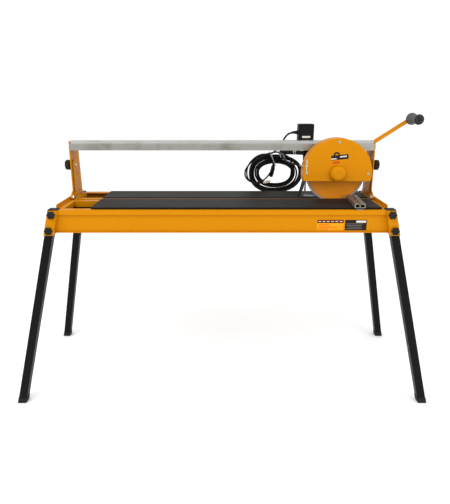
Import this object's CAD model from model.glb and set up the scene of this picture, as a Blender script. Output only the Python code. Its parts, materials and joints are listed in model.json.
import json
import math

import bmesh
import bpy
from mathutils import Matrix, Vector


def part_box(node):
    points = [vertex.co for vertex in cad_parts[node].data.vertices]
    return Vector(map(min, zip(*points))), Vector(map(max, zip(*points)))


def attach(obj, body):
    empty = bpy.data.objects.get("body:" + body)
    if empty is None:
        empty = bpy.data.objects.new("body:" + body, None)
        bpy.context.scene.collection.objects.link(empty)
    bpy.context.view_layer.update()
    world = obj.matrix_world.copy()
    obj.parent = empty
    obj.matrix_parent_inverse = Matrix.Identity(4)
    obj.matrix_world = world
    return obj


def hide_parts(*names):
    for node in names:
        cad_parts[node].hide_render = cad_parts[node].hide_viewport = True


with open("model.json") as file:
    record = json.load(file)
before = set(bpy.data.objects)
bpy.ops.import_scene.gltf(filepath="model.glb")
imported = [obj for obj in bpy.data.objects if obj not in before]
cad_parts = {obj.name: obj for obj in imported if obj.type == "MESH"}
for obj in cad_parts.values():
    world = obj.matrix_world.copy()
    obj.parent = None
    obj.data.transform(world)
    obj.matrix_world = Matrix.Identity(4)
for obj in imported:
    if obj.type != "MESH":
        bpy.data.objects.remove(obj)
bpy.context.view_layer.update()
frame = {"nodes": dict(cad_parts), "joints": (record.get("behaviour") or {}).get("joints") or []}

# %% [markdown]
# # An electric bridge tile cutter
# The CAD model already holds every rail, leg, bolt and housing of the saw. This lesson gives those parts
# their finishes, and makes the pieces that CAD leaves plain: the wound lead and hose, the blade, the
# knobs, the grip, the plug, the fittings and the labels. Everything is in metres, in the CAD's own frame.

MM = 0.001
X, Y, Z = Vector((1, 0, 0)), Vector((0, 1, 0)), Vector((0, 0, 1))


def mm(*values):
    """A point given in millimetres, in metres."""
    return Vector(values) * MM


# %% [markdown]
# ## The camera
# A long table looks right from far off and slightly above, with a moderate lens, so that the rails run
# level and only the near knobs show perspective. The camera looks along +Y and tips down 17 degrees.

# %% Camera
CAMERA_TIP = 0.295
camera_data = bpy.data.cameras.new("camera")
camera_data.lens = 35.8
camera = bpy.data.objects.new("camera", camera_data)
camera.location = (0.012, -2.096, 1.183)
camera.rotation_euler = (math.pi / 2 - CAMERA_TIP, 0, 0)
bpy.context.scene.collection.objects.link(camera)
bpy.context.scene.camera = camera
bpy.context.scene.view_settings.view_transform = "Standard"
print("camera", tuple(round(v, 3) for v in camera.location))

# %% [markdown]
# ## Shader maths in plain Python
# A finish is easier to read as sums than as a web of nodes. A small class wraps one socket, so that
# `grain * 0.4 + 0.3` adds the two Math nodes by itself. Every other node comes from `node`, which takes
# the node's type, its settings, and the values or links of its sockets.

# %% Sockets and finishes
def shade(red, green, blue):
    """A screen colour from 0 to 255 as the linear colour that a shader uses."""
    return tuple(
        c / 12.92 if c < 0.0405 else ((c + 0.055) / 1.055) ** 2.4
        for c in (red / 255, green / 255, blue / 255)
    ) + (1.0,)


class Value:
    """One socket of a finish, for use in sums."""

    def __init__(self, finish, socket):
        self.finish, self.socket = finish, socket

    def maths(self, operation, *values):
        return self.finish.node("ShaderNodeMath", {"operation": operation}, dict(enumerate(values)))

    def __add__(self, other):
        return self.maths("ADD", self, other)

    def __rsub__(self, other):
        return self.maths("SUBTRACT", other, self)

    def __mul__(self, other):
        return self.maths("MULTIPLY", self, other)

    def __gt__(self, other):
        return self.maths("GREATER_THAN", self, other)

    def __lt__(self, other):
        return self.maths("LESS_THAN", self, other)

    __radd__ = __add__
    __rmul__ = __mul__

    def within(self, low, high):
        """1 between low and high, else 0."""
        return (self > low) * (self < high)


class Finish:
    """A material made from one Principled shader."""

    def __init__(self, name, color, roughness, **fixed):
        self.material = bpy.data.materials.new(name)
        self.material.use_nodes = True
        self.tree = self.material.node_tree
        self.surface = self.tree.nodes["Principled BSDF"]
        self.surface.inputs["Base Color"].default_value = color
        self.surface.inputs["Roughness"].default_value = roughness
        for socket, value in fixed.items():
            self.surface.inputs[socket.replace("_", " ")].default_value = value
        self.place = self.node("ShaderNodeTexCoord", out="Object")

    def feed(self, socket, value):
        if isinstance(value, Value):
            self.tree.links.new(value.socket, socket)
        else:
            socket.default_value = value

    def node(self, kind, settings=None, sockets=None, out=0):
        made = self.tree.nodes.new(kind)
        for name, value in (settings or {}).items():
            setattr(made, name, value)
        for name, value in (sockets or {}).items():
            self.feed(made.inputs[name], value)
        return Value(self, made.outputs[out])

    def stretched(self, scale=(1, 1, 1), centre=(0, 0, 0)):
        """Object coordinates moved to a centre and stretched."""
        moved = [-c * s for c, s in zip(centre, scale)]
        return self.node("ShaderNodeMapping", {}, {"Vector": self.place, "Location": moved, "Scale": scale})

    def axes(self):
        """X, Y and Z of the object coordinates as three values."""
        split = self.node("ShaderNodeSeparateXYZ", {}, {0: self.place})
        return [Value(self, s) for s in split.socket.node.outputs]

    def noise(self, scale, detail=3.0, where=None):
        return self.node(
            "ShaderNodeTexNoise", {}, {"Vector": where or self.place, "Scale": scale, "Detail": detail}
        )

    def ramp(self, value, low, high):
        """A value stretched so that low gives 0 and high gives 1, held there."""
        return self.node("ShaderNodeMapRange", {}, {"Value": value, "From Min": low, "From Max": high})

    def blend(self, factor, first, second):
        """A colour between two colours."""
        return self.node(
            "ShaderNodeMix", {"data_type": "RGBA"}, {0: factor, 6: first, 7: second}, out=2
        )

    def colour(self, value):
        self.feed(self.surface.inputs["Base Color"], value)

    def rough(self, value):
        self.feed(self.surface.inputs["Roughness"], value)

    def bump(self, height, distance, strength=1.0):
        made = self.node(
            "ShaderNodeBump", {}, {"Height": height, "Distance": distance, "Strength": strength}
        )
        self.feed(self.surface.inputs["Normal"], made)


print("finishes are written as sums of sockets")

# %% [markdown]
# ## Powder coat
# The frame, guard and arm are sprayed with powder and baked: semi-gloss, with a faint orange peel, a
# slow drift in colour, and scuffs that show as duller patches. One function makes all three coats.

# %% Powder coats
def powder_coat(name, color, worn, roughness, gloss=0.25):
    coat = Finish(name, color, roughness, Coat_Roughness=0.12, Specular_IOR_Level=0.06)
    drift = coat.noise(5.0)
    scuffs = coat.ramp(coat.noise(38.0, 6.0), 0.60, 0.72)
    coat.colour(coat.blend(drift * 0.22 + scuffs * 0.12, color, worn))
    coat.rough(drift * 0.08 + scuffs * 0.18 + (roughness - 0.05))
    coat.feed(coat.surface.inputs["Coat Weight"], (1 - scuffs) * gloss)
    coat.bump(coat.noise(420.0, 2.0) + coat.noise(60.0) * 0.6, 0.00012, 0.5)
    return coat.material


orange = powder_coat("orange powder coat", shade(197, 126, 0), shade(176, 106, 0), 0.42, 0.02)
black_coat = powder_coat("black powder coat", shade(14, 14, 14), shade(30, 30, 31), 0.42, 0.04)
motor_coat = powder_coat("black motor paint", shade(26, 26, 28), shade(44, 44, 46), 0.48, 0.05)
print("coats", orange.name, black_coat.name, motor_coat.name)

# %% [markdown]
# ## Metals
# The guide rail and fence are mill-finish extrusions, with fine die lines along their length, so their
# noise is stretched that way. Small hardware is zinc plated, with a cloudy, slightly yellow passivation.

# %% Metals
def drawn_metal(name, color, dark, along, roughness=0.34, seam=None, band=None):
    """Metal with fine lines along one axis, and a dark seam and a duller band between heights."""
    metal = Finish(name, color, roughness, Metallic=0.85)
    fine = [9.0 if axis == along else 900.0 for axis in range(3)]
    lines = metal.noise(1.0, 4.0, metal.stretched(fine))
    handling = metal.ramp(metal.noise(14.0, 5.0), 0.45, 0.75)
    shaded = lines * 0.5 + handling * 0.3
    if seam:
        height = metal.axes()[2]
        shaded = shaded + height.within(*band) * 0.35 + height.within(*seam) * 0.4
    metal.colour(metal.blend(shaded, color, dark))
    metal.rough(lines * 0.16 + handling * 0.1 + (roughness - 0.1))
    metal.bump(lines, 0.00008, 0.4)
    return metal.material


def zinc_plate(name, color, cloud, roughness=0.3):
    zinc = Finish(name, color, roughness, Metallic=0.9)
    clouds = zinc.noise(220.0, 4.0)
    zinc.colour(zinc.blend(zinc.ramp(clouds, 0.35, 0.7), color, cloud))
    zinc.rough(clouds * 0.25 + (roughness - 0.1))
    zinc.bump(zinc.noise(900.0), 0.00004, 0.4)
    return zinc.material


rail_metal = drawn_metal(
    "mill-finish rail", shade(196, 198, 197), shade(116, 111, 98), 0, 0.42,
    seam=(1.0064, 1.0074), band=(0.97, 1.0066),
)
fence_metal = drawn_metal("mill-finish fence", shade(158, 151, 140), shade(96, 90, 80), 1, 0.45)
zinc = zinc_plate("zinc plate", shade(200, 200, 198), shade(170, 166, 150))
dark_steel = zinc_plate("blackened steel", shade(58, 57, 56), shade(40, 39, 38), 0.4)
print("metals", rail_metal.name, fence_metal.name, zinc.name, dark_steel.name)

# %% [markdown]
# ## Moulded plastics and rubbers
# Handles, boxes and boots are moulded with a spark-eroded grain: a fine bump, and roughness that is a
# little lower where hands polish it. Rubber has a coarser grain, pale dust, and almost no shine.

# %% Plastics and rubbers
def moulded(name, color, roughness, grain=700.0, depth=0.00006, dust=0.1):
    stuff = Finish(name, color, roughness, Specular_IOR_Level=0.1)
    pale = tuple(0.75 * c + 0.05 for c in color[:3]) + (1.0,)
    dusty = stuff.ramp(stuff.noise(22.0, 6.0), 0.48, 0.8)
    stuff.colour(stuff.blend(dusty * dust, color, pale))
    stuff.rough(stuff.noise(60.0) * 0.16 + (roughness - 0.08))
    stuff.bump(stuff.noise(grain, 2.0), depth, 0.6)
    return stuff.material


box_plastic = moulded("black box plastic", shade(20, 20, 21), 0.55)
knob_plastic = moulded("black knob plastic", shade(30, 30, 30), 0.36, dust=0.2)
tray_plastic = moulded("black tray plastic", shade(32, 32, 33), 0.55, 300.0)
boot_rubber = moulded("black boot rubber", shade(24, 24, 24), 0.6, 900.0)
grip_rubber = moulded("grey grip rubber", shade(80, 80, 83), 0.68, 1200.0, 0.0001, 0.3)
flap_rubber = moulded("black flap rubber", shade(30, 30, 31), 0.6, 800.0)
nylon = moulded("roller nylon", shade(208, 206, 198), 0.4, dust=0.0)
white_plastic = moulded("white fitting plastic", shade(236, 232, 220), 0.38, dust=0.05)
tie_plastic = moulded("pale tie plastic", shade(196, 196, 190), 0.35, dust=0.0)
green_plastic = moulded("green button plastic", shade(20, 128, 52), 0.28, dust=0.05)
red_plastic = moulded("red button plastic", shade(190, 22, 18), 0.28, dust=0.05)
print("plastics and rubbers made")

# %% [markdown]
# ## Finishes that follow the piece
# The table mats have a ribbed top, so their bump is a wave across the cut. The blade is painted orange
# over turned steel: rings round its centre catch the light, and its paint is rubbed near the rim.

# %% Mats and blade core
mats = Finish("ribbed table rubber", shade(44, 43, 42), 0.72, Specular_IOR_Level=0.15)
mat_across = mats.axes()[1]
ribs = mats.node("ShaderNodeMath", {"operation": "SINE"}, {0: mat_across * (2 * math.pi / 0.0042)})
smears = mats.ramp(mats.noise(3.2, 6.0, mats.stretched((1, 4, 1))), 0.42, 0.75)
mats.colour(mats.blend(smears * 0.55, shade(24, 23, 22), shade(44, 40, 36)))
mats.rough(smears * 0.12 + 0.62)
mats.bump(ribs * 0.5 + mats.noise(900.0) * 0.7, 0.0002, 0.5)

blade_low, blade_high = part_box("blade")
BLADE_CENTRE = (blade_low + blade_high) / 2
BLADE_R = (blade_high.z - blade_low.z) / 2
core = Finish("painted blade core", shade(204, 122, 6), 0.4, Specular_IOR_Level=0.15)
from_centre = core.node(
    "ShaderNodeVectorMath", {"operation": "LENGTH"}, {0: core.stretched(centre=tuple(BLADE_CENTRE))}, out=1
)
turned = core.node("ShaderNodeMath", {"operation": "SINE"}, {0: from_centre * 4200.0})
rubbed = core.ramp(from_centre + core.noise(90.0) * 0.006, BLADE_R * 0.9, BLADE_R * 0.97)
core.colour(core.blend(rubbed * 0.7, shade(212, 128, 2), shade(150, 100, 40)))
core.rough(turned * 0.05 + core.noise(30.0) * 0.15 + 0.33)
core.bump(turned, 0.00003, 0.5)

rim = Finish("diamond rim", shade(126, 116, 104), 0.55, Metallic=0.5)
grit = rim.noise(1500.0, 2.0)
rim.colour(rim.blend(rim.ramp(grit, 0.4, 0.65), shade(112, 102, 90), shade(176, 170, 160)))
rim.bump(grit, 0.0003, 0.8)
print("blade radius", round(BLADE_R, 4), "m")

# %% [markdown]
# ## Cord jackets
# The lead has a dull rubber jacket, and the hose a smooth vinyl one with more shine. Both are nearly
# black, so what tells them apart is roughness.

# %% Cord jackets
lead_jacket = moulded("lead rubber", shade(23, 23, 23), 0.55, 1400.0, 0.00005)
hose_jacket = moulded("hose vinyl", shade(28, 28, 29), 0.3, 300.0, 0.00003)
print("jackets", lead_jacket.name, hose_jacket.name)

# %% [markdown]
# ## The CAD parts' finishes
# Most CAD parts have the right shape, and only need their finish. Each material slot of the record has
# one finish, so a table from slot to finish is enough.

# %% Finishes on the CAD parts
FINISH_OF_SLOT = {
    "orange_paint": orange, "black_paint": black_coat, "motor_paint": motor_coat,
    "black_plastic": tray_plastic, "knob_plastic": knob_plastic, "switch_plastic": box_plastic,
    "mat_rubber": mats.material, "grip_rubber": grip_rubber, "aluminium": rail_metal,
    "zinc_steel": zinc, "blade_finish": core.material, "roller_nylon": nylon,
    "green_plastic": green_plastic, "red_plastic": red_plastic, "lead_rubber": lead_jacket,
    "hose_vinyl": hose_jacket, "fitting_plastic": white_plastic,
}
SPECIAL_FINISH = {"fence": fence_metal, "splash_flap": flap_rubber}
slot_of_node = {}
for node, part in frame["nodes"].items():
    for item in part.material_slots:
        slot_of_node[node] = item.material.name.split(".")[0]
        item.material = SPECIAL_FINISH.get(node) or FINISH_OF_SLOT.get(slot_of_node[node], black_coat)
print(sorted(set(slot_of_node.values())))

# %% [markdown]
# ## Building pieces
# New pieces are made with bmesh operators at a simple place, then moved as a whole to where they belong,
# so that the finished object itself stays at the origin. `facing` gives the move for a piece that was
# made along +Z, and `finished` turns a bmesh into a piece that rides on a CAD body.

# %% Piece helpers
def facing(origin, axis, spin=0.0):
    """The move that takes a piece made along +Z to an origin, looking along an axis."""
    turn = axis.to_track_quat("Z", "Y").to_matrix().to_4x4() @ Matrix.Rotation(spin, 4, "Z")
    return Matrix.Translation(origin) @ turn


def finished(name, bm, body, slot, *finishes, replaces=(), sharp=35):
    """A bmesh as a shown piece that rides on a body."""
    mesh = bpy.data.meshes.new(name)
    bm.to_mesh(mesh)
    bm.free()
    mesh.shade_smooth()
    mesh.set_sharp_from_angle(angle=math.radians(sharp))
    return shown(bpy.data.objects.new(name, mesh), body, slot, *finishes, replaces=replaces)


def shown(piece, body, slot, *finishes, replaces=()):
    bpy.context.scene.collection.objects.link(piece)
    for finish in finishes:
        piece.data.materials.append(finish)
    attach(piece, body)
    if replaces:
        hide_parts(*replaces)
    return piece


def rounded(bm, edges, radius, segments=3):
    bmesh.ops.bevel(
        bm, geom=edges, offset=radius, offset_type="OFFSET", segments=segments, profile=0.5,
        affect="EDGES", material=-1, clamp_overlap=True,
    )


def block(bm, low, high, radius=0.0, move=None, material=0):
    """A box between two corners in millimetres, with its edges rounded."""
    low, high = mm(*low), mm(*high)
    size = Matrix.Diagonal((*(high - low), 1))
    made = bmesh.ops.create_cube(bm, size=1, matrix=Matrix.Translation((low + high) / 2) @ size)["verts"]
    faces = {f for v in made for f in v.link_faces}
    for face in faces:
        face.material_index = material
    if move is not None:
        bmesh.ops.transform(bm, matrix=move, verts=made)
    if radius:
        rounded(bm, list({e for v in made for e in v.link_edges}), radius * MM, 2)


def lathe(bm, profile, move, steps=48, material=0):
    """A closed profile of (radius, height) points in millimetres, spun about +Z and then moved."""
    ring = [bm.verts.new((r * MM, 0, h * MM)) for r, h in profile]
    edges = [bm.edges.new(pair) for pair in zip(ring, ring[1:])]
    if profile[0][0] > 0 or profile[-1][0] > 0:
        edges.append(bm.edges.new((ring[-1], ring[0])))
    before = set(bm.faces)
    bmesh.ops.spin(
        bm, geom=ring + edges, cent=(0, 0, 0), axis=(0, 0, 1), angle=2 * math.pi, steps=steps, use_merge=True
    )
    faces = [f for f in bm.faces if f not in before]
    verts = list({v for f in faces for v in f.verts})
    bmesh.ops.remove_doubles(bm, verts=verts, dist=1e-7)
    faces = [f for f in bm.faces if f not in before]
    bmesh.ops.recalc_face_normals(bm, faces=faces)
    for face in faces:
        face.material_index = material
    verts = list({v for f in faces for v in f.verts})
    bmesh.ops.transform(bm, matrix=move, verts=verts)
    return verts


print("piece helpers ready")

# %% [markdown]
# ## The mains lead
# The lead is one rubber cord, 8 mm thick. It leaves the switch box, drops behind the rail, and is wound
# in eight loose oval turns that hang behind the table, four wide and four narrow. A NURBS curve through
# a few chosen points gives the free part, and a loop adds the turns to the same curve, two layers deep.

# %% Mains lead
def cord_curve(name, points, diameter):
    curve = bpy.data.curves.new(name, "CURVE")
    curve.dimensions = "3D"
    curve.bevel_depth = diameter / 2
    curve.bevel_resolution = 4
    curve.resolution_u = 6
    spline = curve.splines.new("NURBS")
    spline.points.add(len(points) - 1)
    for slot_point, place in zip(spline.points, points):
        slot_point.co = (*place, 1)
    spline.order_u = 3
    spline.use_endpoint_u = True
    curve.use_fill_caps = True
    return bpy.data.objects.new(name, curve)


LEAD_D = 0.008
LEAD_ROUTE = [
    (317, 141, 1047), (303, 141, 1046.5), (286, 142.5, 1040), (274, 150, 1025), (267, 165, 1006),
    (262, 190, 989), (254, 218, 974), (243, 243, 957), (224, 260, 943),
]
LEAD_TAIL = [
    (323, 262, 890), (318, 257, 914), (304, 252, 932), (284, 249, 939), (263, 249, 933),
    (248.4, 249.5, 918), (241.6, 250, 903),
]
COIL_X, COIL_Z = 245, 857
TURN_STEPS = 14
SQUARED = 0.9  # below 1, so that the turns are fuller than ellipses at their corners
# Half widths to the left and right, half heights up and down, and the depth, at the start of each turn.
TURNS = [
    (121, 134, 86, 99, 271), (116, 128, 80, 93, 263), (111, 122, 74, 88, 271), (106, 116, 68, 82, 263),
    (93, 101, 61, 74, 271), (87, 94, 55, 68, 263), (82, 88, 49, 62, 271), (78, 83, 45, 57, 263),
    (77, 81, 44, 55, 263),
]


def turn_point(step):
    turn, part = divmod(step, TURN_STEPS)
    share = part / TURN_STEPS
    left, right, up, down, _ = (a + (b - a) * share for a, b in zip(TURNS[turn], TURNS[turn + 1]))
    before = TURNS[max(turn - 1, 0)][4]
    depth = before + (TURNS[turn][4] - before) * min(part / 3, 1)
    angle = 2 * math.pi * share
    sides = (-math.sin(angle), math.cos(angle))
    loose = 1.4 * math.sin(2 * angle + 2.1 * turn)
    across, rise = (math.copysign(abs(side) ** SQUARED, side) for side in sides)
    return (
        COIL_X + (across * (left if across < 0 else right)) + loose,
        depth,
        COIL_Z + rise * (up if rise > 0 else down) + 0.6 * loose,
    )


last_step = (len(TURNS) - 1) * TURN_STEPS - 3
lead_points = LEAD_ROUTE + [turn_point(step) for step in range(2, last_step)] + LEAD_TAIL
lead = cord_curve("mains_lead_wound", [mm(*p) for p in lead_points], LEAD_D)
shown(lead, "head", "lead_rubber", lead_jacket, replaces=("mains_lead", "lead_coil"))
print("lead made from", len(lead_points), "points")

# %% [markdown]
# ## The water hose
# A 7 mm vinyl hose runs from the guard's barb along the hanger, makes two loose loops in front of the
# lead's turns, and ends in a white connector. It isn't wound neatly, so its points are chosen by hand.

# %% Water hose
HOSE_D = 0.007
HOSE_ROUTE = [
    (320, -8, 923), (298, -8, 928), (277, 2, 934), (265, 20, 940), (262, 45, 945), (264, 72, 949),
    (266, 101, 952), (264, 131, 954), (258, 159, 956), (250, 187, 957), (242, 212, 956), (229, 231, 951),
    (206, 242, 945), (174, 246, 935), (143, 246, 916), (118, 246, 890), (104, 246, 864), (106, 246, 839),
    (122, 246, 819), (146, 246, 811), (172, 244, 813), (196, 240, 826), (214, 237, 846), (227, 236, 868),
    (236, 236, 891), (235, 236, 911), (226, 236, 929), (210, 235, 941), (189, 236, 945), (163, 238, 937),
    (141, 238, 921), (123, 238, 900), (113, 238, 874), (113, 238, 846), (121, 238, 827), (141, 239, 812),
    (168, 240, 807), (196, 241, 813.5),
]
hose = cord_curve("water_hose_looped", [mm(*p) for p in HOSE_ROUTE], HOSE_D)
shown(hose, "head", "hose_vinyl", hose_jacket, replaces=("water_hose",))
print("hose made from", len(HOSE_ROUTE), "points")

# %% [markdown]
# ## What sits on the cords
# A ribbed boot grips the lead at the box, so that it can't kink there. The lead ends in a flat angled
# plug, whose pins look to the rear. The hose has a plated barb at one end and a white connector at the
# other. Each is turned on a lathe: a half outline spun about its own axis.

# %% Boot, plug and hose fittings
boot_outline = [(3.6, 0), (9.5, 0), (9.5, 3), (8.2, 4.5)]
for rib in range(5):
    start, wide = 6 + rib * 4, 7.8 - rib * 0.6
    boot_outline += [(wide, start), (wide, start + 2), (wide - 1.2, start + 2.6), (wide - 1.2, start + 3.6)]
boot_outline += [(4.6, 27), (3.6, 27)]
bm = bmesh.new()
lathe(bm, boot_outline, facing(mm(329, 141, 1047), -X))
boot = finished("lead_strain_boot", bm, "head", "black_plastic", boot_rubber, replaces=("cable_gland",))

PLUG_TOP, PLUG_LOW = mm(242, 250, 912), mm(225, 250, 836)
plug_move = facing(PLUG_TOP, (PLUG_LOW - PLUG_TOP).normalized())
bm = bmesh.new()
neck_outline = [(0, 0), (4.8, 0)]
for rib in range(4):
    start, wide = 3 + rib * 5, 5.4 + rib * 0.6
    neck_outline += [(wide, start), (wide, start + 2.4), (wide - 0.5, start + 3.4)]
neck_outline += [(7, 26), (0, 26)]
lathe(bm, neck_outline, plug_move, 32)
block(bm, (-9, -8.5, 24), (9, 8.5, 76), 4.5, plug_move)
block(bm, (-7, -9.3, 34), (7, -8.2, 66), 0.5, plug_move)
for side in (-9.5, 9.5):
    pin = Matrix.Translation(mm(226.5, 258, 850 + side)) @ Matrix.Rotation(-math.pi / 2, 4, "X")
    lathe(bm, [(0, 0), (2.4, 0), (2.4, 17), (1.6, 19), (0, 19)], pin, 20, material=1)
plug = finished("mains_plug_moulded", bm, "head", "lead_rubber", boot_rubber, zinc, replaces=("mains_plug",))

BARB = [
    (0, -2), (6, -2), (6, 3), (4.4, 3), (3.4, 5), (4.4, 8), (3.4, 8), (4.4, 12), (3.2, 12), (3.2, 15.3),
    (0, 15.3),
]
bm = bmesh.new()
lathe(bm, BARB, facing(mm(334.9, -8, 919.6), Vector((-14.9, 0, 3.4)).normalized()), 32)
barb = finished("hose_barb", bm, "head", "zinc_steel", zinc, replaces=("hose_fittings",))

CONNECTOR = [
    (3.2, -5), (4.6, -5), (5, 2), (6.4, 3), (6.4, 7), (5.4, 8), (5.4, 10), (6.4, 11), (6.4, 15), (5.6, 16),
    (5.6, 25), (4.6, 27.5), (3.2, 27.5),
]
bm = bmesh.new()
lathe(bm, CONNECTOR, facing(mm(196, 241, 813.5), Vector((26, 1, 6)).normalized()), 32)
connector = finished("hose_connector", bm, "head", "fitting_plastic", white_plastic)
print("on the cords:", boot.name, plug.name, barb.name, connector.name)

# %% [markdown]
# ## Cable ties
# Two nylon ties hold the coil to the rod that carries it. A tie is a flat strip in a closed loop: a box
# with four round edges, opened at both ends and given a wall, with its lock head and cut tail.

# %% Cable ties
TIE_LEAN = math.radians(22)
tie_axes = Matrix((
    (0, -math.sin(TIE_LEAN), math.cos(TIE_LEAN), 0), (1, 0, 0, 0),
    (0, math.cos(TIE_LEAN), math.sin(TIE_LEAN), 0), (0, 0, 0, 1),
))
for number, (x, y, z, deep, high) in enumerate(((232, 256, 922, 52, 72), (264, 262, 943, 44, 34)), 1):
    move = Matrix.Translation(mm(x, y, z)) @ tie_axes
    bm = bmesh.new()
    block(bm, (-deep / 2, -high / 2, -1.5), (deep / 2, high / 2, 1.5))
    along = [e for e in bm.edges if abs((e.verts[0].co - e.verts[1].co).z) > 0.001]
    rounded(bm, along, 12 * MM, 5)
    ends = [f for f in bm.faces if abs(f.normal.z) > 0.9]
    bmesh.ops.delete(bm, geom=ends, context="FACES_ONLY")
    bmesh.ops.solidify(bm, geom=bm.faces[:], thickness=1.1 * MM)
    bmesh.ops.transform(bm, matrix=move, verts=bm.verts[:])
    block(bm, (-deep / 2 - 4, high / 2 - 20, -3.6), (-deep / 2 + 2, high / 2 - 13, 3.6), 0.8, move)
    block(bm, (-deep / 2 - 3, high / 2 - 32, -2), (-deep / 2 - 2, high / 2 - 18, 2), 0.3, move)
    tie = finished(f"cable_tie_{number}", bm, "head", "fitting_plastic", tie_plastic,
                   replaces=("cable_ties",) if number == 1 else ())
    print(tie.name, len(tie.data.polygons), "faces")

# %% Declaring the cords
print("cords declared")

# %% [markdown]
# ## The coil's arm
# A padded sleeve covers the steel arm that carries the coil, so it reads as one thick black bundle that
# comes out from behind the guard. It bends, so it is a curve with a round section; its clip is turned.

# %% Coil arm
ARM_D = 0.019
ARM_ROUTE = [
    (388, 122, 955), (384, 150, 955), (368, 188, 954), (338, 222, 953), (304, 248, 951), (268, 268, 948),
]
arm = cord_curve("coil_arm_sleeve", [mm(*p) for p in ARM_ROUTE], ARM_D)
shown(arm, "head", "black_paint", boot_rubber, replaces=("cable_hanger",))
bm = bmesh.new()
CLIP_IN, CLIP_OUT = 9.0, 10.6
clip_move = facing(mm(334, 225, 953), Vector((-34, 29, -1)).normalized())
for middle in (-5, 5):
    low, high = middle - 2.5, middle + 2.5
    lathe(bm, [(CLIP_IN, low), (CLIP_OUT, low), (CLIP_OUT, high), (CLIP_IN, high)], clip_move, 32)
finished("coil_arm_clip", bm, "head", "zinc_steel", zinc)
print("arm", len(ARM_ROUTE), "points")

# %% [markdown]
# ## The blade
# A continuous-rim diamond blade is a thin steel disc with a slightly thicker rim. One outline spun about
# the shaft makes both, and pulling in every third column of the rim's outer points cuts its grooves.

# %% Blade
CORE_R, RIM_HALF, CORE_HALF, BORE_R = 117, 1.2, 0.9, 12.7
COLUMNS, GROOVE = 216, 1.2
blade_r = BLADE_R / MM
bm = bmesh.new()
disc = lathe(bm, [
    (BORE_R, -CORE_HALF), (60, -CORE_HALF), (CORE_R, -CORE_HALF), (CORE_R + 0.6, -RIM_HALF),
    (blade_r, -RIM_HALF), (blade_r, RIM_HALF), (CORE_R + 0.6, RIM_HALF), (CORE_R, CORE_HALF),
    (60, CORE_HALF), (BORE_R, CORE_HALF),
], Matrix.Identity(4), COLUMNS)
for vert in disc:
    radius = vert.co.xy.length
    column = round(math.degrees(math.atan2(vert.co.y, vert.co.x)) / (360 / COLUMNS))
    if radius > BLADE_R - MM and column % 3 == 0:
        vert.co.xy *= 1 - GROOVE * MM / radius
for face in bm.faces:
    if face.calc_center_median().xy.length > CORE_R * MM:
        face.material_index = 1
bmesh.ops.transform(bm, matrix=facing(BLADE_CENTRE, -Y), verts=bm.verts[:])
disc = finished(
    "diamond_blade", bm, "rotor", "blade_finish", core.material, rim.material, replaces=("blade",)
)
print(disc.name, len(disc.data.polygons), "faces")

# %% [markdown]
# ## Star knobs
# The legs and the tilt are clamped with moulded star knobs. Each is a turned outline whose wide part is
# pulled in between the lobes, placed by its joint: the joint's position is the knob's seat.

# %% Star knobs
LEG_KNOB = [
    (0, -3.1), (6.5, -3.1), (6.5, 1.5), (13, 2.2), (15, 3.4), (16, 5.5), (16, 11.5), (15.2, 14), (13, 15.6),
    (10.5, 16), (7.5, 16), (6.8, 14.8), (0, 14.4),
]
BEVEL_KNOB = [
    (0, -6.6), (9, -6.6), (9, -2), (12, 0), (18, 1.4), (21, 3.6), (22, 7), (22, 16), (21, 19.5), (18, 22),
    (13.5, 23.4), (10.5, 24), (9.8, 22.6), (0, 22),
]
HUB = 0.55  # the share of the radius inside which a knob stays round


def star_knob(name, outline, lobes, depth, move, slot):
    bm = bmesh.new()
    wide = max(r for r, _ in outline) * MM
    verts = lathe(bm, outline, Matrix.Identity(4), lobes * 12)
    for vert in verts:
        radius = vert.co.xy.length
        if radius > HUB * wide:
            angle = math.atan2(vert.co.y, vert.co.x)
            share = (radius - HUB * wide) / ((1 - HUB) * wide)
            vert.co.xy *= 1 - depth * share * (0.5 - 0.5 * math.cos(lobes * angle)) ** 2
    bmesh.ops.transform(bm, matrix=move, verts=bm.verts[:])
    return finished(f"{name}_star", bm, name, slot, knob_plastic, replaces=(name,), sharp=50)


knobs = []
for joint in frame["joints"]:
    name, seat = joint["child"], Vector(joint.get("pos_m", (0, 0, 0)))
    if name.endswith(("upper_knob", "lower_knob")):
        move = facing(seat, Vector(joint["axis"]))
        knobs.append(star_knob(name, LEG_KNOB, 6, 0.24, move, "black_plastic"))
    elif name.endswith("bevel_knob"):
        move = facing(seat, X if seat.x > 0 else -X)
        knobs.append(star_knob(name, BEVEL_KNOB, 7, 0.2, move, "knob_plastic"))
print(len(knobs), "star knobs")

# %% [markdown]
# ## The grip
# The grip is one rubber moulding on a steel pin: closed at the front with a raised ring round a moulding
# hole, waisted for the hand, with a flange at the rear. It is one closed outline, turned.

# %% Grip
GRIP_X, GRIP_Z = 808, 1105
GRIP = [
    (0, 24.8), (2.4, 24.8), (2.8, 23.5), (9.6, 23.2), (10.2, 24.2), (12.4, 24.2), (13, 23.2), (16.4, 23.4),
    (18.6, 25), (20.8, 27.6), (21.5, 31), (20.8, 38), (19, 48), (17.3, 60), (16.5, 72), (17.5, 84), (20, 96),
    (23.4, 106), (25, 110), (25, 114), (24, 117), (22, 118), (7.2, 118), (7.2, 27), (0, 27),
]
bm = bmesh.new()
lathe(bm, GRIP, facing(mm(GRIP_X, 0, GRIP_Z), Y), 64)
RING_IN, RING_OUT, END_FACE = 10 * MM, 12.6 * MM, 24.5 * MM
for face in bm.faces:
    middle = face.calc_center_median()
    off_centre = (middle.xz - mm(GRIP_X, 0, GRIP_Z).xz).length
    if middle.y < END_FACE and not RING_IN < off_centre < RING_OUT:
        face.material_index = 1
finished(
    "handle_grip_moulding", bm, "head", "grip_rubber", grip_rubber, boot_rubber, replaces=("handle_grip",)
)
print("grip", len(GRIP), "outline points")

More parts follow.
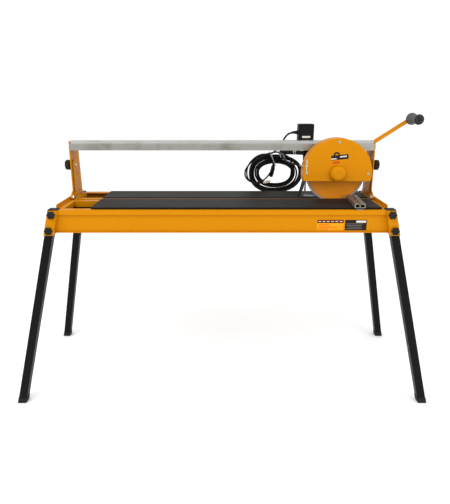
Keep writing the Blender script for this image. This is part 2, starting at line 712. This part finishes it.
# %% [markdown]
# ## Small things on the head
# The guard has a rolled hem, cross-head screws, a clip for the flap and a plain badge of bars and a ring.
# All are thin blocks with rounded edges, turned in the guard's face by `on_face`. The carriage's back
# plate comes first: two flat blocks that cross behind the rail, and a shelf for the switch box.

# %% Carriage plate
bm = bmesh.new()
block(bm, (352, 116, 930), (615, 121, 1003), 1.0)
block(bm, (414, 116.2, 850), (534, 120.8, 934), 1.0)
block(bm, (329, 116, 1000), (395, 165, 1003), 0.6)
finished("carriage_back_plate", bm, "head", "black_paint", black_coat, replaces=("carriage_plate",))

# %% Marks and colours
mark_dark = moulded("dark printed film", shade(34, 26, 24), 0.45, dust=0.05)
mark_pale = moulded("pale printed film", shade(214, 208, 196), 0.45, dust=0.05)
mark_red = moulded("red printed film", shade(196, 60, 18), 0.45, dust=0.05)
mark_brown = moulded("brown printed film", shade(88, 34, 20), 0.45, dust=0.05)
mark_amber = moulded("amber printed film", shade(226, 148, 12), 0.45, dust=0.05)
mark_grey = moulded("grey printed film", shade(120, 116, 110), 0.45, dust=0.05)
bar_plastic = moulded("blue-grey bar plastic", shade(176, 183, 190), 0.4, dust=0.05)


def on_face(bm, centre, size, front, material=0, angle=0.0, thick=0.5):
    """A thin block on a face that looks to the front, at depth `front`, turned by an angle in degrees."""
    turn = Matrix.Rotation(-math.radians(angle), 4, "Y")
    move = Matrix.Translation(mm(centre[0], front, centre[1])) @ turn
    half_wide, half_high = size[0] / 2, size[1] / 2
    block(bm, (-half_wide, -thick, -half_high), (half_wide, 0.2, half_high), 0.15, move, material)


print("films and bar plastic made")

# %% Guard details
GUARD_FACE, SCREW_FACE = -35, -37.5
BADGE_TILT, FILM = 6, 0.4
bm = bmesh.new()
block(bm, (337, -36.4, 861.8), (611, -33, 865.4), 1.2)
hem = finished("guard_hem", bm, "head", "orange_paint", orange)

bm = bmesh.new()
for x, z, turn in ((347, 895, 20), (600, 892, 65), (474, 1020, 35)):
    for angle in (turn, turn + 90):
        on_face(bm, (x, z), (5.6, 1.1), SCREW_FACE, angle=angle, thick=0.15)
finished("screw_crosses", bm, "head", "zinc_steel", dark_steel)

bm = bmesh.new()
on_face(bm, (479, 959), (70, 19), GUARD_FACE, 0, BADGE_TILT, FILM)
on_face(bm, (456, 952.5), (24, 4.5), GUARD_FACE - FILM, 1, BADGE_TILT, 0.25)
on_face(bm, (493, 962), (28, 5), GUARD_FACE - FILM, 1, BADGE_TILT, 0.25)
on_face(bm, (466, 938), (28, 7), GUARD_FACE, 2, BADGE_TILT, FILM)
lathe(bm, [(7, -0.3), (7, 0.9), (13, 0.9), (13, -0.3)], facing(mm(466, GUARD_FACE, 967), -Y), 40, 0)
badge = finished("guard_badge", bm, "head", "orange_paint", mark_dark, mark_pale, mark_red)

bm = bmesh.new()
block(bm, (343.4, -36.8, 896), (347.6, -34.6, 950), 0.8)
block(bm, (340, -37.6, 918), (350, -35, 926), 0.8)
clip = finished("guard_clip", bm, "head", "zinc_steel", zinc)
print(hem.name, badge.name, clip.name)

# %% [markdown]
# ## Flap clamp, slot bar, switch strip and fence screw
# A dark strip clamps the splash flap to the guard. Behind the blade a pale bar hangs from a strap, just
# above the table. The switch's lid has a pale strip, and the fence a dark screw and clamp.

# %% Flap clamp, slot bar and switch strip
bm = bmesh.new()
block(bm, (337.6, -30.5, 857), (348, 28.5, 866), 1.0)
finished("flap_clamp", bm, "head", "zinc_steel", dark_steel)

bm = bmesh.new()
block(bm, (348, 30, 786.5), (398, 36, 793), 1.0)
finished("slot_bar", bm, "head", "fitting_plastic", bar_plastic)
bm = bmesh.new()
block(bm, (350, 33, 790), (358, 36, 870), 0.6)
finished("slot_bar_strap", bm, "head", "zinc_steel", zinc)

bm = bmesh.new()
on_face(bm, (361.5, 1029.5), (35, 8), 111, thick=0.4)
finished("switch_strip", bm, "switch_flap", "switch_plastic", mark_pale)

bm = bmesh.new()
lathe(bm, [(0, -0.2), (4.4, -0.2), (4.4, 0.9), (2.4, 0.9), (2.2, 0.3), (0, 0.3)],
      facing(mm(533, -120, 802.7), Z), 32)
block(bm, (516.4, -205.7, 779.6), (546.6, -202.8, 784.6), 0.6)
finished("fence_screw_and_clamp", bm, "fence", "black_plastic", dark_steel)
print("small parts on the head and fence")

# %% [markdown]
# ## The strip beside the slot
# A brown strip lies along the front of the slot, a little below the mats, and stays wet in use.

# %% Slot strip
strip_brown = moulded("wet brown strip", shade(112, 74, 34), 0.6, 300.0, 0.0001, 0.6)
bm = bmesh.new()
block(bm, (-508, -15.6, 778.6), (620, 2.4, 783.2), 0.6)
strip = finished("slot_strip", bm, "frame", "orange_paint", strip_brown)
print(strip.name, "beside the blade's slot")

# %% [markdown]
# ## Plates on the front rail
# Two printed plates sit on the web of the front rail. Their marks are only bars: no words.

# %% Rail plates
RAIL_WEB = -199
ON_PLATE = RAIL_WEB - FILM
bm = bmesh.new()
on_face(bm, (422, 716), (102, 42), RAIL_WEB, 0, thick=FILM)
on_face(bm, (422, 730.5), (102, 13), ON_PLATE, 1, thick=0.2)
for number in range(6):
    on_face(bm, (380 + number * 16.5, 730.5), (10, 2.6), RAIL_WEB - 0.6, 2, thick=0.15)
for row, wide in enumerate((40, 50, 72, 36)):
    on_face(bm, (377 + wide / 2, 718.5 - row * 6.2), (wide, 2), ON_PLATE, 3, thick=0.15)
plate_one = finished(
    "rail_plate_amber", bm, "frame", "orange_paint", mark_amber, mark_brown, mark_pale, mark_red
)

bm = bmesh.new()
on_face(bm, (521, 716), (84, 42), RAIL_WEB, 0, thick=FILM)
on_face(bm, (541, 730), (38, 8), ON_PLATE, 1, thick=0.2)
for row in range(4):
    place, size = (517 - 3 * (row % 2), 721 - row * 6.5), (66 - 6 * (row % 3), 1.8)
    on_face(bm, place, size, ON_PLATE, 2, thick=0.15)
plate_two = finished("rail_plate_dark", bm, "frame", "black_plastic", mark_dark, mark_pale, mark_grey)
print(plate_one.name, plate_two.name)

# %% [markdown]
# ## Floor and light
# A pale floor, a bright even sky and two large soft lamps, as in a studio: one above and in front to
# the left, one lower on the right, so that the web of the rails reads darker than their rims.

# %% Studio
bm = bmesh.new()
bmesh.ops.create_grid(bm, x_segments=1, y_segments=1, size=14)
floor_mesh = bpy.data.meshes.new("studio_floor")
bm.to_mesh(floor_mesh)
bm.free()
studio_floor = bpy.data.objects.new("studio_floor", floor_mesh)
floor_finish = Finish("pale floor", shade(255, 255, 255), 0.95, Specular_IOR_Level=0.0)
floor_mesh.materials.append(floor_finish.material)
bpy.context.scene.collection.objects.link(studio_floor)

sky = bpy.data.worlds.new("studio sky")
sky.use_nodes = True
sky.node_tree.nodes["Background"].inputs["Color"].default_value = (1, 1, 1, 1)
sky.node_tree.nodes["Background"].inputs["Strength"].default_value = 1.05
bpy.context.scene.world = sky


def soft_lamp(name, place, target, size, power):
    lamp = bpy.data.lights.new(name, "AREA")
    lamp.shape, lamp.size, lamp.size_y, lamp.energy = "RECTANGLE", *size, power
    holder = bpy.data.objects.new(name, lamp)
    holder.location = place
    holder.rotation_euler = (Vector(target) - Vector(place)).to_track_quat("-Z", "Y").to_euler()
    bpy.context.scene.collection.objects.link(holder)
    return holder


soft_lamp("key lamp", (-1.2, -1.8, 3.0), (0, 0, 0.8), (2.4, 1.6), 42)
soft_lamp("fill lamp", (2.2, -2.2, 1.6), (0.3, 0, 0.8), (1.6, 1.6), 18)
print("floor, sky and two lamps")

# %% Sizes and the end
print("sizes written")
